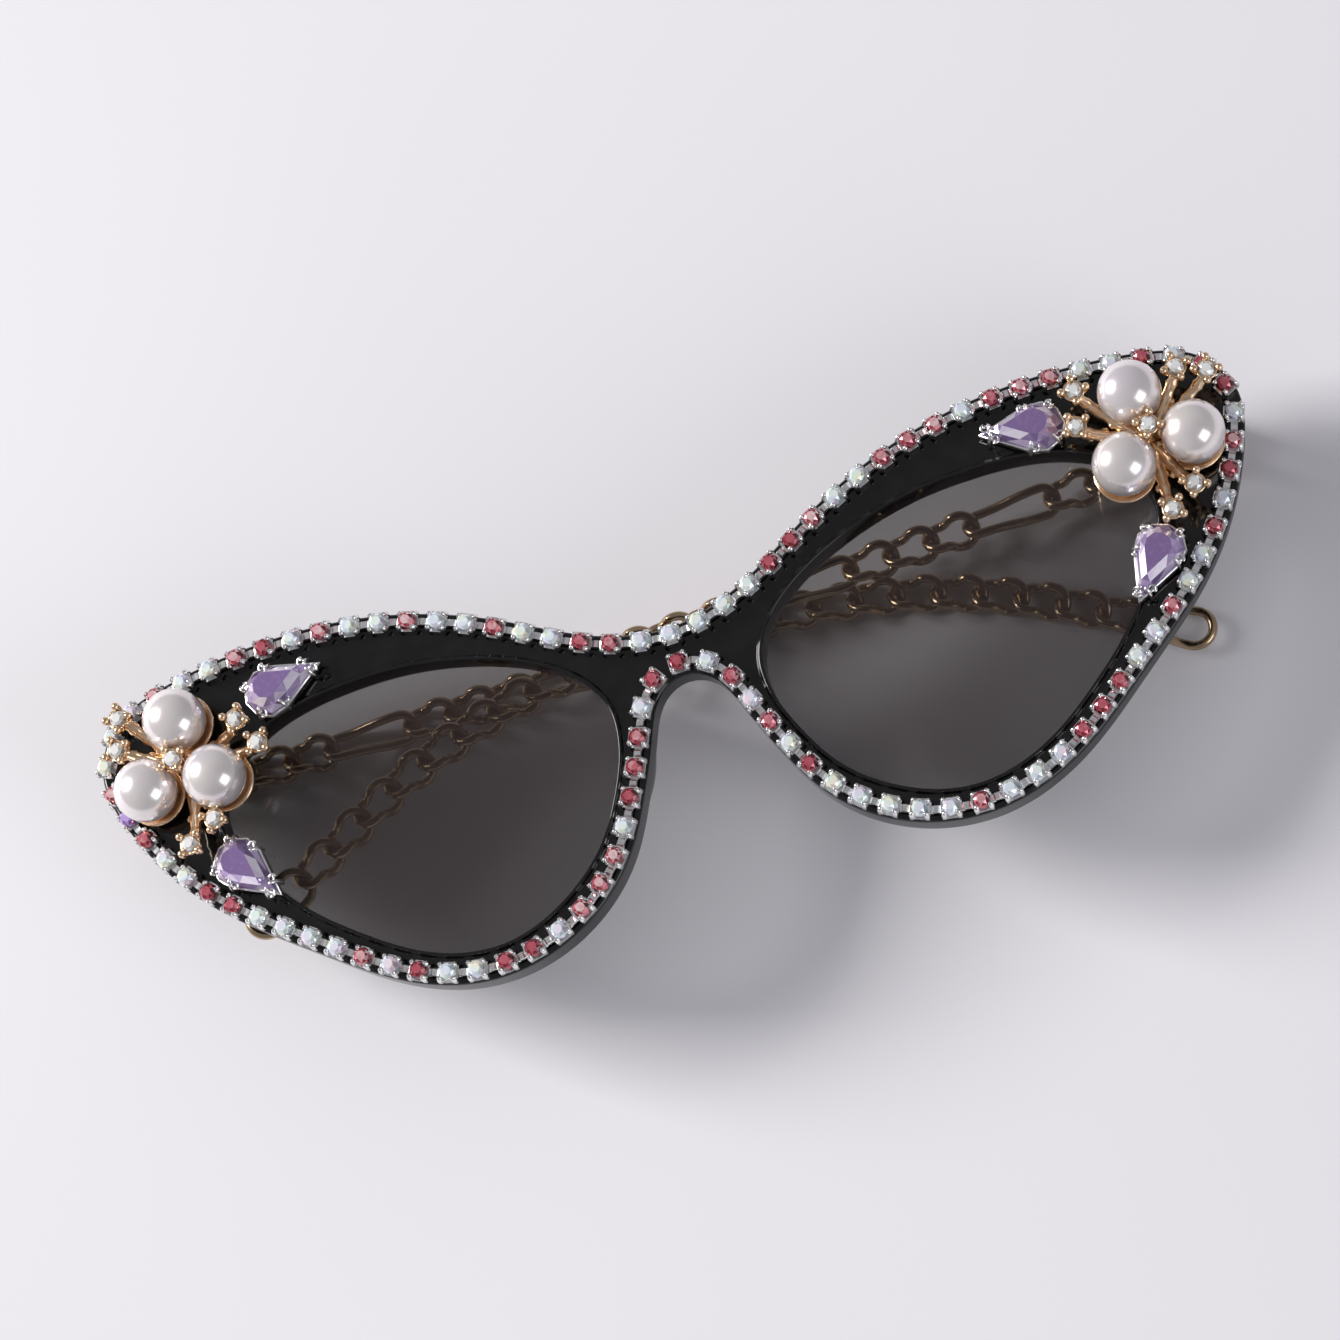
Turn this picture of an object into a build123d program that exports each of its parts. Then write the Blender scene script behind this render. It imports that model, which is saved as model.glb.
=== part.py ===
from build123d import *
import math
import os

os.makedirs("parts", exist_ok=True)

# Cat eye sunglasses lying folded on their temples, lenses up. Millimetres. +X is the wearer's
# left, +Y runs from the lens bottoms to the brow and +Z is the way the lenses face. The sizes below
# are measured from the middle of the front's face. The exported parts stand on the floor at z = 0.

# ---- front ------------------------------------------------------------------------------------
FACE_RADIUS = 408.0          # the front bends round the face on this radius, about a line along Y
FRONT_THICKNESS = 3.6
RIM_WIDTH = 0.45             # raised polished rim round each lens opening
RIM_HEIGHT = 0.45
LENS_THICKNESS = 1.6
LENS_DEPTH = 1.2             # from the front's face down to the lens
GROOVE_DEPTH = 0.7           # how far the lens edge sits in the rim
NOSE_PAD_SIZE = (1.7, 5.5, 3.4)
NOSE_PAD_PLACE = (8.9, -15.0)
NOSE_PAD_LEAN = 22.0
SHELL_LENGTH = 120.0         # longer than the front is tall, and the next two deeper than its bend
PRISM_TOP = 6.0
PRISM_BOTTOM = -20.0

# Half of the front's outline, from the top of the bridge round the tip to the nose arch.
FRONT_HALF = [
    (0, 0.3), (9.5, 2.6), (19.6, 8.3), (30.0, 13.2), (41.5, 16.2), (53.0, 17.1), (64.5, 16.4),
    (71.5, 14.1), (74.9, 9.0), (73.7, 0.8), (65.5, -13.1), (54.3, -23.4), (43.4, -31.7), (33.0, -35.2),
    (21.6, -33.3), (12.3, -25.7), (8.6, -18.8), (6.9, -15.0), (5.6, -11.6), (4.2, -8.6), (2.3, -6.8),
    (0, -6.2),
]
# The left lens opening: over the top from the nose to the outer end, then back underneath.
LENS_UPPER = [
    (9.8, -9.0), (10.9, -4.9), (16.0, 0.4), (25.0, 4.8), (34.0, 7.0), (42.0, 7.5), (49.5, 6.9),
    (56.0, 4.6), (60.0, 1.2), (61.3, -3.0),
]
LENS_LOWER = [
    (61.3, -3.0), (59.9, -8.5), (56.6, -14.0), (52.4, -19.2), (47.3, -23.9), (42.6, -27.5),
    (36.8, -30.4), (30.5, -31.4), (25.2, -30.3), (20.2, -27.7), (15.6, -23.6), (12.2, -17.9),
    (10.3, -13.0), (9.8, -9.0),
]
LENS_NOSE_WAY = (0, 1)       # which way the edge runs at the nose end, and at the outer end
LENS_OUTER_WAY = (0, -1)
END_PULL = [1.0, 1.0]        # how strongly a curve keeps to those ways at its two ends

# ---- cup chain --------------------------------------------------------------------------------
CUP_PITCH = 3.8
CUP_SIDE = 2.7
CUP_HEIGHT = 1.5
CUP_POCKET = 0.6             # depth of the seat the stone drops in
CUP_INSET = 1.35             # from the front's outline to the middle of the cups
BROW_SHARE = 0.42            # of the cups from the middle of the brow round to the nose arch
STONE_DIAMETER = 2.4
STONE_HEIGHT = 1.3
STONE_GIRDLE = 0.45          # height of the straight side as a share of the stone
STONE_TABLE = 0.55           # width of the flat top as a share of the stone
CUP_CORNER = 0.32            # cut off each corner of a cup
BAR_WIDTH = 0.7
BAR_THICKNESS = 0.4
BAR_GAP = 0.03               # between a link bar and the cup it is pressed to
STONE_COLOURS = {"r": "ruby", "a": "aurora", "p": "purple"}
# Stones in order along each run: r ruby, a aurora crystal, p purple.
BROW_STONES = "aaaraarraraaraaraarraaaaarrraarrrarrraararr"
RIM_STONES = "arraraaraarrraaaraaaaararararrarrrarrrarraararaaaarraarpr"

# ---- flower clusters at the tips --------------------------------------------------------------
FLOWER_PLACE = (62.8, 4.2)
PEARL_DIAMETER = 8.0
PEARL_RING = 5.4             # from the flower's middle to each pearl
PEARL_ANGLES = (100, 220, 340)
FLOWER_PLATE = 1.0
PEARL_SEAT_RADIUS = 2.6
PEARL_SEAT_RISE = 0.7
TWIG_RADIUS = 0.55
TWIG_CUP_RADIUS = 1.5
TWIG_CUP_HEIGHT = 1.3
TWIG_STONE = 2.1
TWIG_RISE = 3.4              # height of a twig's cup above the front
MIDDLE_RISE = 5.6
TWIG_LONG = 10.6
TWIG_SHORT = 8.9
LEFT_TWIGS = ((52, TWIG_SHORT), (32, TWIG_LONG), (134, TWIG_LONG),
              (160, TWIG_SHORT), (270, TWIG_LONG), (293, TWIG_SHORT))
RIGHT_TWIGS = ((53, TWIG_LONG), (31, TWIG_SHORT), (163, TWIG_SHORT),
               (187, TWIG_LONG), (278, TWIG_LONG), (254, TWIG_SHORT))

# ---- teardrop gems ----------------------------------------------------------------------------
DROP_WIDTH = 6.0
DROP_LENGTH = 10.0
DROP_HEIGHT = 3.2
DROP_GIRDLE = 1.0
SETTING_WALL = 0.4
SETTING_HEIGHT = 1.3
SETTING_FLOOR = 0.5
DROP_TAPER = 32.0
CLAW_RADIUS = 0.5
CLAW_HEIGHT = 2.2
CLAW_SPREAD = 48.0
DROPS = {"upper": (50.5, 10.2, 174.0), "lower": (59.8, -9.4, 237.0)}   # round end's centre, turn

# ---- hinges -----------------------------------------------------------------------------------
HINGE_X = 69.0
HINGE_Y = 7.0
HINGE_DROP = 18.8            # from the front's face at the bridge down to the hinge line
KNUCKLE_RADIUS = 1.5
KNUCKLE_WIDTH = 2.8
EAR_WIDTH = 1.4
SIDE_CLEARANCE = 0.08
SCREW_RADIUS = 0.65
SCREW_CLEARANCE = 0.04
SCREW_HEAD_RADIUS = 1.15
SCREW_HEAD_HEIGHT = 0.6
SLOT_WIDTH = 0.3
PLATE_LENGTH = 9.0
PLATE_WIDTH = 7.4
PLATE_THICKNESS = 1.0
EAR_SHANK = 2.2

# ---- chain temples ----------------------------------------------------------------------------
WIRE = 1.15                  # wire diameter of the links
LINK_WIDTH = 5.1
LONG_LINK_WIDTH = 4.7
LINK_PITCH = 5.3
LONG_PITCH = 10.65
LINK_GAP = 0.04
LINK_TWIST = 30.0
ROOT_BAR = 2.6               # hinge line to the root's eye
ROOT_BAR_WIDTH = 2.2
ROOT_BAR_THICKNESS = 1.5
EYE_RADIUS = 1.5
HINGE_LINKS = 3
MIDDLE_LINKS = 3
EAR_LINKS = 13
TEMPLE_DROOP = 2.3           # degrees the straight part runs down from the hinge
EAR_BEND = 28.0
EAR_RADIUS = 78.0
STRAIGHT_LENGTH = 78.0
LOOP_LENGTH = 10.5
LOOP_WIDTH = 5.6
LEFT_TUCK = 4.2              # the left temple folds first, this much nearer the front


def face_place(x, y, height=0.0, turn=0.0):
    """A place on the front's curved face, with Z standing out of the face."""
    lean = math.asin(x / FACE_RADIUS)
    reach = FACE_RADIUS + height
    point = (reach * math.sin(lean), y, reach * math.cos(lean) - FACE_RADIUS)
    spot = Location(point, (0, math.degrees(lean), 0))
    return spot * Location((0, 0, 0), (0, 0, turn))


def shell(top, bottom):
    """The space between two cylinders round the face's axis, top and bottom measured from the face."""
    tube = Cylinder(FACE_RADIUS + top, SHELL_LENGTH) - Cylinder(FACE_RADIUS + bottom, SHELL_LENGTH)
    return Pos(0, 0, -FACE_RADIUS) * Rot(90, 0, 0) * tube


def prism(outline):
    """An outline drawn through the whole depth of the curved front."""
    return extrude(Pos(0, 0, PRISM_BOTTOM) * outline, amount=PRISM_TOP - PRISM_BOTTOM)


def beside(edge, distance, steps=30):
    """A curve that keeps a distance to the left of an edge that lies flat in XY."""
    spots = []
    for i in range(steps + 1):
        way = edge.tangent_at(i / steps)
        spots.append(edge.position_at(i / steps) + Vector(-way.Y, way.X, 0) * distance)
    return Spline(*spots)


half_edge = Spline(*FRONT_HALF, tangents=[(1, 0), (-1, 0)], tangent_scalars=END_PULL)
front_outline = make_face([half_edge, mirror(half_edge, Plane.YZ)])
upper_lens_edge = Spline(*LENS_UPPER, tangents=[LENS_NOSE_WAY, LENS_OUTER_WAY], tangent_scalars=END_PULL)
lower_lens_edge = Spline(*LENS_LOWER, tangents=[LENS_OUTER_WAY, LENS_NOSE_WAY], tangent_scalars=END_PULL)


def lens_outline(side, grow=0.0):
    """The lens opening of one side, or a larger outline the same distance outside it all round."""
    edges = [upper_lens_edge, lower_lens_edge]
    if grow:
        edges = [beside(edge, grow) for edge in edges]
    outline = make_face(edges)
    return outline if side > 0 else mirror(outline, Plane.YZ)


SIDE = {"left": 1, "right": -1}
nodes = {}


# ---- front and lenses -------------------------------------------------------------------------
def lens(side):
    return prism(lens_outline(side, GROOVE_DEPTH)) & shell(-LENS_DEPTH, -LENS_DEPTH - LENS_THICKNESS)


def raised_rim(side):
    return prism(lens_outline(side, RIM_WIDTH)) & shell(RIM_HEIGHT, -RIM_HEIGHT)


def nose_pad(side):
    """A moulded pad standing back from the nose side of the rim."""
    x, y = NOSE_PAD_PLACE
    pad = scale(Sphere(1), by=NOSE_PAD_SIZE)
    return Pos(side * x, y, -FRONT_THICKNESS) * Rot(0, 0, side * NOSE_PAD_LEAN) * pad


def build_front():
    front = prism(front_outline) & shell(0, -FRONT_THICKNESS)
    for name, side in SIDE.items():
        nodes[f"{name}_lens"] = lens(side)
        front = front + raised_rim(side) + nose_pad(side)
        front = front - prism(lens_outline(side)) - nodes[f"{name}_lens"]
    nodes["front_frame"] = front


# ---- cup chain --------------------------------------------------------------------------------
ON_BASE = (Align.CENTER, Align.CENTER, Align.MIN)


def stone(diameter, height):
    """A set stone: a straight girdle under a sloping crown with a flat table."""
    radius = diameter / 2
    girdle = height * STONE_GIRDLE
    crown = Cone(radius, radius * STONE_TABLE, height - girdle, align=ON_BASE)
    return Cylinder(radius, girdle, align=ON_BASE) + Pos(0, 0, girdle) * crown


def cup():
    body = Box(CUP_SIDE, CUP_SIDE, CUP_HEIGHT, align=ON_BASE)
    body = chamfer(body.edges().filter_by(Axis.Z), CUP_CORNER)
    seat = Cylinder(STONE_DIAMETER / 2, CUP_POCKET, align=ON_BASE)
    return body - Pos(0, 0, CUP_HEIGHT - CUP_POCKET) * seat


def build_cup_chains():
    """Cups at one pitch all round: the brow run from tip to tip, then the rim run back."""
    path = beside(half_edge, -CUP_INSET, 60)
    count = round(path.length / CUP_PITCH)
    pitch = path.length / count

    def place(step, height):
        """A cup's place. Steps run down the left half from 0, and down the right with a minus."""
        side = -1 if step < 0 else 1
        share = abs(step) / count
        spot = path.position_at(share)
        way = path.tangent_at(share)
        return face_place(side * spot.X, spot.Y, height, math.degrees(math.atan2(way.Y, side * way.X)))

    tip = round(count * BROW_SHARE)
    brow = list(range(-tip, tip + 1))
    rim = list(range(tip + 1, count + 1)) + list(range(1 - count, -tip))
    one_cup = cup()
    one_stone = stone(STONE_DIAMETER, STONE_HEIGHT)
    one_bar = Box(pitch - CUP_SIDE - 2 * BAR_GAP, BAR_WIDTH, BAR_THICKNESS, align=ON_BASE)
    for run, steps, colours in (("brow", brow, BROW_STONES), ("rim", rim, RIM_STONES)):
        cups = [place(step, 0) * one_cup for step in steps]
        halves = [step + 0.5 for step in steps[:-1]]
        bars = [place(half, CUP_HEIGHT * 0.3) * one_bar for half in halves]
        nodes[f"{run}_cup_chain"] = Compound(cups + bars)
        for letter, colour in STONE_COLOURS.items():
            chosen = [step for n, step in enumerate(steps) if colours[n % len(colours)] == letter]
            seated = [place(step, CUP_HEIGHT - CUP_POCKET) * one_stone for step in chosen]
            if seated:
                nodes[f"{run}_{colour}_stones"] = Compound(seated)


# ---- flower clusters --------------------------------------------------------------------------
def rod(start, end, radius):
    way = Vector(*end) - Vector(*start)
    plane = Plane(origin=start, z_dir=way)
    return extrude(plane * Circle(radius), amount=way.length)


def polar(reach, angle, height=0.0):
    return (reach * math.cos(math.radians(angle)), reach * math.sin(math.radians(angle)), height)


def build_flower(name, twigs):
    """A gold casting with three pearls on pegs and seven clear stones in cups on twigs."""
    side = SIDE[name]
    place = face_place(side * FLOWER_PLACE[0], FLOWER_PLACE[1], RIM_HEIGHT)
    radius = PEARL_DIAMETER / 2
    pearl_angles = [angle if side > 0 else 180 - angle for angle in PEARL_ANGLES]
    casting = Cylinder(PEARL_RING - PEARL_SEAT_RADIUS + 1.0, FLOWER_PLATE, align=ON_BASE)
    pearls = []
    for angle in pearl_angles:
        x, y, z = polar(PEARL_RING, angle)
        seat = Cylinder(PEARL_SEAT_RADIUS, FLOWER_PLATE + PEARL_SEAT_RISE, align=ON_BASE)
        casting = casting + Pos(x, y, 0) * seat
        pearls.append(Pos(x, y, FLOWER_PLATE + radius) * Sphere(radius))
    cups = [(0, 0, MIDDLE_RISE)]
    for angle, reach in twigs:
        cups.append(polar(reach, angle if side > 0 else 180 - angle, TWIG_RISE))
    for spot in cups:
        casting = casting + rod((0, 0, TWIG_RADIUS), (spot[0], spot[1], spot[2] + TWIG_RADIUS), TWIG_RADIUS)
        casting = casting + Pos(*spot) * Cylinder(TWIG_CUP_RADIUS, TWIG_CUP_HEIGHT, align=ON_BASE)
    for pearl in pearls:
        casting = casting - pearl
    seat = Cylinder(TWIG_STONE / 2, CUP_POCKET, align=ON_BASE)
    stones = []
    for x, y, z in cups:
        casting = casting - Pos(x, y, z + TWIG_CUP_HEIGHT - CUP_POCKET) * seat
        pocket = Pos(x, y, z + TWIG_CUP_HEIGHT - CUP_POCKET)
        stones.append(place * pocket * stone(TWIG_STONE, TWIG_STONE / 2))
    nodes[f"{name}_flower_casting"] = place * casting
    nodes[f"{name}_flower_stones"] = Compound(stones)
    for number, pearl in enumerate(pearls, 1):
        nodes[f"{name}_pearl_{number}"] = place * pearl


# ---- teardrop gems ----------------------------------------------------------------------------
def drop_outline(width, length):
    """A round end about the origin running in two straight flanks to a point on +X."""
    radius = width / 2
    reach = length - radius
    flank = math.acos(radius / reach)
    upper = (radius * math.cos(flank), radius * math.sin(flank))
    lower = (upper[0], -upper[1])
    edges = [Line((reach, 0), upper), ThreePointArc(upper, (-radius, 0), lower), Line(lower, (reach, 0))]
    return make_face(edges)


def build_drops():
    outline = drop_outline(DROP_WIDTH, DROP_LENGTH)
    wall = offset(outline, SETTING_WALL)
    gem = extrude(outline, amount=DROP_GIRDLE)
    girdle = Pos(0, 0, DROP_GIRDLE) * outline
    gem = gem + extrude(girdle, amount=DROP_HEIGHT - DROP_GIRDLE, taper=DROP_TAPER)
    pocket = Pos(0, 0, SETTING_FLOOR) * extrude(outline, amount=DROP_HEIGHT)
    setting = extrude(wall, amount=SETTING_HEIGHT) - pocket
    reach = DROP_WIDTH / 2 + SETTING_WALL
    flank = math.degrees(math.acos(DROP_WIDTH / 2 / (DROP_LENGTH - DROP_WIDTH / 2)))
    for angle in (flank, -flank, 180 - CLAW_SPREAD, 180 + CLAW_SPREAD):
        claw = Cylinder(CLAW_RADIUS, CLAW_HEIGHT, align=ON_BASE)
        x, y, z = polar(reach, angle)
        setting = setting + Pos(x, y, 0) * claw
    setting = setting - Pos(0, 0, SETTING_FLOOR) * extrude(outline, amount=DROP_HEIGHT)
    for name, side in SIDE.items():
        for level, (x, y, turn) in DROPS.items():
            place = face_place(side * x, y, RIM_HEIGHT, turn if side > 0 else 180 - turn)
            nodes[f"{name}_{level}_drop_setting"] = place * setting
            nodes[f"{name}_{level}_drop_gem"] = place * Pos(0, 0, SETTING_FLOOR) * gem


# ---- hinges -----------------------------------------------------------------------------------
def along_y(radius, length):
    return Rot(90, 0, 0) * Cylinder(radius, length)


def build_hinge(name):
    """A riveted leaf with two ears on the back of the tip, and the screw the temple turns on."""
    side = SIDE[name]
    line = Location((side * HINGE_X, HINGE_Y, -HINGE_DROP))
    leaf = Pos(side * HINGE_X, HINGE_Y, 0) * Rectangle(PLATE_WIDTH, PLATE_LENGTH)
    plate = prism(leaf) & shell(-FRONT_THICKNESS, -FRONT_THICKNESS - PLATE_THICKNESS)
    plate_bottom = math.sqrt(FACE_RADIUS**2 - HINGE_X**2) - FACE_RADIUS - FRONT_THICKNESS - PLATE_THICKNESS
    shank = plate_bottom + HINGE_DROP + PLATE_THICKNESS / 2
    ear_middle = KNUCKLE_WIDTH / 2 + SIDE_CLEARANCE + EAR_WIDTH / 2
    for way in (1, -1):
        ear = along_y(KNUCKLE_RADIUS, EAR_WIDTH)
        ear = ear + Box(EAR_SHANK, EAR_WIDTH, shank, align=ON_BASE)
        plate = plate + line * Pos(0, way * ear_middle, 0) * ear
    plate = plate - line * along_y(SCREW_RADIUS, PLATE_LENGTH)
    reach = ear_middle + EAR_WIDTH / 2
    screw = along_y(SCREW_RADIUS, reach * 2)
    head = Pos(0, reach + SCREW_HEAD_HEIGHT / 2, 0) * along_y(SCREW_HEAD_RADIUS, SCREW_HEAD_HEIGHT)
    slot = Pos(0, reach + SCREW_HEAD_HEIGHT, 0) * Box(SCREW_HEAD_RADIUS * 2, SCREW_HEAD_HEIGHT, SLOT_WIDTH)
    nodes[f"{name}_hinge_plate"] = plate
    nodes[f"{name}_hinge_screw"] = line * (screw + head - slot)


# ---- chain temples ----------------------------------------------------------------------------
def link(pitch, width, twist_start, twist_end):
    """An oval wire link, its ends turned so that each sits square to the next link."""
    bend = (width - WIRE) / 2
    flat = (pitch + WIRE + LINK_GAP) / 2 - bend
    section = Plane(origin=(0, bend, 0), z_dir=(1, 0, 0)) * Circle(WIRE / 2)
    bow = revolve(section, Axis.Z, -180)
    ring = [Pos(flat, 0, 0) * Rot(twist_end, 0, 0) * bow, Pos(-flat, 0, 0) * Rot(twist_start, 0, 180) * bow]
    for way in (bend, -bend):
        start = Vector(flat, way, 0).rotate(Axis.X, twist_end)
        end = Vector(-flat, way, 0).rotate(Axis.X, twist_start)
        flank = Spline(start, end, tangents=[(-1, 0, 0), (-1, 0, 0)])
        ring.append(sweep(Plane(origin=start, z_dir=(-1, 0, 0)) * Circle(WIRE / 2), path=flank))
    return ring[0] + ring[1:]


def temple_place(s):
    """The point a length s along the temple from the hinge line: straight, then the ear bend."""
    droop = math.radians(TEMPLE_DROOP)
    bend = math.radians(EAR_BEND)
    x = min(s, STRAIGHT_LENGTH) * math.cos(droop)
    y = -min(s, STRAIGHT_LENGTH) * math.sin(droop)
    arc = min(max(s - STRAIGHT_LENGTH, 0) / EAR_RADIUS, bend)
    x += EAR_RADIUS * (math.sin(droop + arc) - math.sin(droop))
    y -= EAR_RADIUS * (math.cos(droop) - math.cos(droop + arc))
    rest = max(s - STRAIGHT_LENGTH - EAR_RADIUS * bend, 0)
    heading = droop + arc
    return Vector(x + rest * math.cos(heading), y - rest * math.sin(heading), 0)


def build_temple():
    """The temple's pieces from the hinge line out along +X, with the ear end down towards -Y."""
    small = link(LINK_PITCH, LINK_WIDTH, -LINK_TWIST, LINK_TWIST)
    long = link(LONG_PITCH, LONG_LINK_WIDTH, -LINK_TWIST, LINK_TWIST)
    loop = link(LOOP_LENGTH - WIRE * 2, LOOP_WIDTH, -LINK_TWIST, 0)
    droop = Rot(0, 0, -TEMPLE_DROOP)
    eye_middle = ROOT_BAR + EYE_RADIUS
    eye = Pos(eye_middle, 0, 0) * Rot(LINK_TWIST, 0, 0) * Torus(EYE_RADIUS, WIRE / 2)
    bar = Box(ROOT_BAR, ROOT_BAR_WIDTH, ROOT_BAR_THICKNESS, align=(Align.MIN, Align.CENTER, Align.CENTER))
    root = along_y(KNUCKLE_RADIUS, KNUCKLE_WIDTH) + droop * (bar + eye)
    root = root - along_y(SCREW_RADIUS + SCREW_CLEARANCE, KNUCKLE_WIDTH * 2)
    pieces = {"temple_root": root}
    runs = (
        ("hinge_links", small, LINK_PITCH, HINGE_LINKS),
        ("front_long_link", long, LONG_PITCH, 1),
        ("middle_links", small, LINK_PITCH, MIDDLE_LINKS),
        ("rear_long_link", long, LONG_PITCH, 1),
        ("ear_links", small, LINK_PITCH, EAR_LINKS),
        ("end_loop", loop, LOOP_LENGTH - WIRE * 2, 1),
    )
    s = eye_middle + EYE_RADIUS - (WIRE + LINK_GAP) / 2
    for run, shape, pitch, count in runs:
        solids = []
        for i in range(count):
            near = temple_place(s)
            far = temple_place(s + pitch)
            heading = math.degrees(math.atan2(far.Y - near.Y, far.X - near.X))
            middle = (near + far) / 2
            solids.append(Location((middle.X, middle.Y, 0), (0, 0, heading)) * shape)
            s += pitch
        pieces[run] = Compound(solids) if count > 1 else solids[0]
    return pieces


def build_temples():
    pieces = build_temple()
    hinge = {name: Location((side * HINGE_X, HINGE_Y, -HINGE_DROP)) for name, side in SIDE.items()}
    folded = {"left": hinge["left"] * Rot(0, 180 + LEFT_TUCK, 0), "right": hinge["right"]}
    for name in SIDE:
        for piece, shape in pieces.items():
            nodes[f"{name}_{piece}"] = folded[name] * shape


build_front()
build_cup_chains()
build_flower("left", LEFT_TWIGS)
build_flower("right", RIGHT_TWIGS)
build_drops()
for name in SIDE:
    build_hinge(name)
build_temples()

box = Compound(list(nodes.values())).bounding_box()
seat_on_floor = Pos(-(box.min.X + box.max.X) / 2, -(box.min.Y + box.max.Y) / 2, -box.min.Z)
for name, shape in nodes.items():
    export_step(seat_on_floor * shape, f"parts/{name}.step")
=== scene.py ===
import bmesh
import bpy
import math
import random
from mathutils import Matrix, Vector


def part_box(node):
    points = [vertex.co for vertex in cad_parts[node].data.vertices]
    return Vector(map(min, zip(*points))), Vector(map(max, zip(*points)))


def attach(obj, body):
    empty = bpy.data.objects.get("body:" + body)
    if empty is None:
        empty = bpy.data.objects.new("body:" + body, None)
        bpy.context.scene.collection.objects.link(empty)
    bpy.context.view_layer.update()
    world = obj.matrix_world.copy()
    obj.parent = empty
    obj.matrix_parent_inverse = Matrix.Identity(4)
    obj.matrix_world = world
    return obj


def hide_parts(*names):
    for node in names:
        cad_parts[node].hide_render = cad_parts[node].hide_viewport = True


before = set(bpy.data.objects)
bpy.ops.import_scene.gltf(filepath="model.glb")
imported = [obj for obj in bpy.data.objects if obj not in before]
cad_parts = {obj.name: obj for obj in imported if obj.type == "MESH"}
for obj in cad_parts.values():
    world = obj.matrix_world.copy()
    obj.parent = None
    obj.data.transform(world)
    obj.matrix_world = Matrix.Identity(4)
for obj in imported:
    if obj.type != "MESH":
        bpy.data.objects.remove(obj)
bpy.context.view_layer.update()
mm = 0.001

# ---- Floor, daylight and camera ---------------------------------------------------------------
# The glasses lie on a pale table top, lenses up, in soft window-like light from the far left.
# A long lens looks down on them from beyond the lens bottoms, turned a little to the left side.


class Shade:
    """One socket of a material's tree. Arithmetic on it adds the Math nodes that work it out."""

    def __init__(self, tree, socket=None):
        self.tree = tree
        self.socket = socket

    def add(self, kind, settings=None, sockets=None, out=0):
        node = self.tree.nodes.new(kind)
        for name, value in (settings or {}).items():
            if name == "stops":
                ramp = node.color_ramp.elements
                while len(ramp) < len(value):
                    ramp.new(0.5)
                for stop, (place, colour) in zip(ramp, value):
                    stop.position = place
                    stop.color = (*colour, 1)
            else:
                setattr(node, name, value)
        self.feed(node, sockets or {})
        return Shade(self.tree, node.outputs[out])

    def feed(self, node, sockets):
        for name, value in sockets.items():
            if isinstance(value, Shade):
                self.tree.links.new(value.socket, node.inputs[name])
            else:
                node.inputs[name].default_value = value

    def maths(self, operation, first, second):
        return self.add("ShaderNodeMath", {"operation": operation}, {0: first, 1: second})

    def __add__(self, other):
        return self.maths("ADD", self, other)

    def __sub__(self, other):
        return self.maths("SUBTRACT", self, other)

    def __rsub__(self, other):
        return self.maths("SUBTRACT", other, self)

    def __mul__(self, other):
        return self.maths("MULTIPLY", self, other)

    __radd__ = __add__
    __rmul__ = __mul__


def finish_of(name, paint):
    """A material: paint is given the tree's Shade and returns the Principled sockets' values."""
    material = bpy.data.materials.new(name)
    material.use_nodes = True
    tree = material.node_tree
    shade = Shade(tree)
    shade.feed(tree.nodes["Principled BSDF"], paint(shade))
    return material


def grain(shade, scale, detail=2.0, kind="ShaderNodeTexNoise"):
    """A noise that stays on the piece, so many cells to the metre."""
    place = shade.add("ShaderNodeTexCoord", out="Object")
    return shade.add(kind, None, {"Vector": place, "Scale": scale, "Detail": detail})


def ramp(shade, factor, *stops):
    """A colour ramp over a 0 to 1 value. Stops are (place, colour)."""
    return shade.add("ShaderNodeValToRGB", {"stops": stops}, {0: factor})


def link_object(name, mesh):
    piece = bpy.data.objects.new(name, mesh)
    bpy.context.scene.collection.objects.link(piece)
    return piece


def table_paint(shade):
    tone = grain(shade, 6.0)
    colour = ramp(shade, tone, (0.3, (0.80, 0.785, 0.83)), (0.7, (0.84, 0.825, 0.865)))
    return {"Base Color": colour, "Roughness": 0.55, "Specular IOR Level": 0.25}


TABLE_SIZE = 6
bpy.ops.mesh.primitive_plane_add(size=TABLE_SIZE, location=(0, 0, 0))
table = bpy.context.object
table.name = "table_top"
table.data.materials.append(finish_of("pale_table", table_paint))


def soft_light(name, place, size, power, colour):
    """A square lamp that faces the glasses."""
    lamp = bpy.data.lights.new(name, "AREA")
    lamp.size = size
    lamp.energy = power
    lamp.color = colour
    holder = bpy.data.objects.new(name, lamp)
    holder.location = place
    holder.rotation_euler = (-Vector(place)).to_track_quat("-Z", "Y").to_euler()
    bpy.context.scene.collection.objects.link(holder)


soft_light("window", (-1.15, 0.62, 0.80), 0.62, 27, (1.0, 0.985, 0.96))
soft_light("fill", (0.9, -0.9, 0.7), 0.8, 5, (0.93, 0.95, 1.0))
world = bpy.data.worlds.new("room")
bpy.context.scene.world = world
world.use_nodes = True
room_light = world.node_tree.nodes["Background"].inputs
room_light["Color"].default_value = (0.90, 0.90, 0.94, 1)
room_light["Strength"].default_value = 0.34

lens_view = bpy.data.cameras.new("camera")
lens_view.lens = 252
lens_view.clip_end = 20
camera = bpy.data.objects.new("camera", lens_view)
bpy.context.scene.collection.objects.link(camera)
camera_place = Vector((0.1486, -0.3780, 1.0959))
camera_aim = Vector((-0.0014, 0.0040, 0.0205))
camera_roll = math.radians(-39.02)
look = (camera_aim - camera_place).to_track_quat("-Z", "Y").to_matrix().to_4x4()
camera.matrix_world = Matrix.Translation(camera_place) @ look @ Matrix.Rotation(camera_roll, 4, "Z")
bpy.context.scene.camera = camera
bpy.context.scene.view_settings.view_transform = "Standard"

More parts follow.
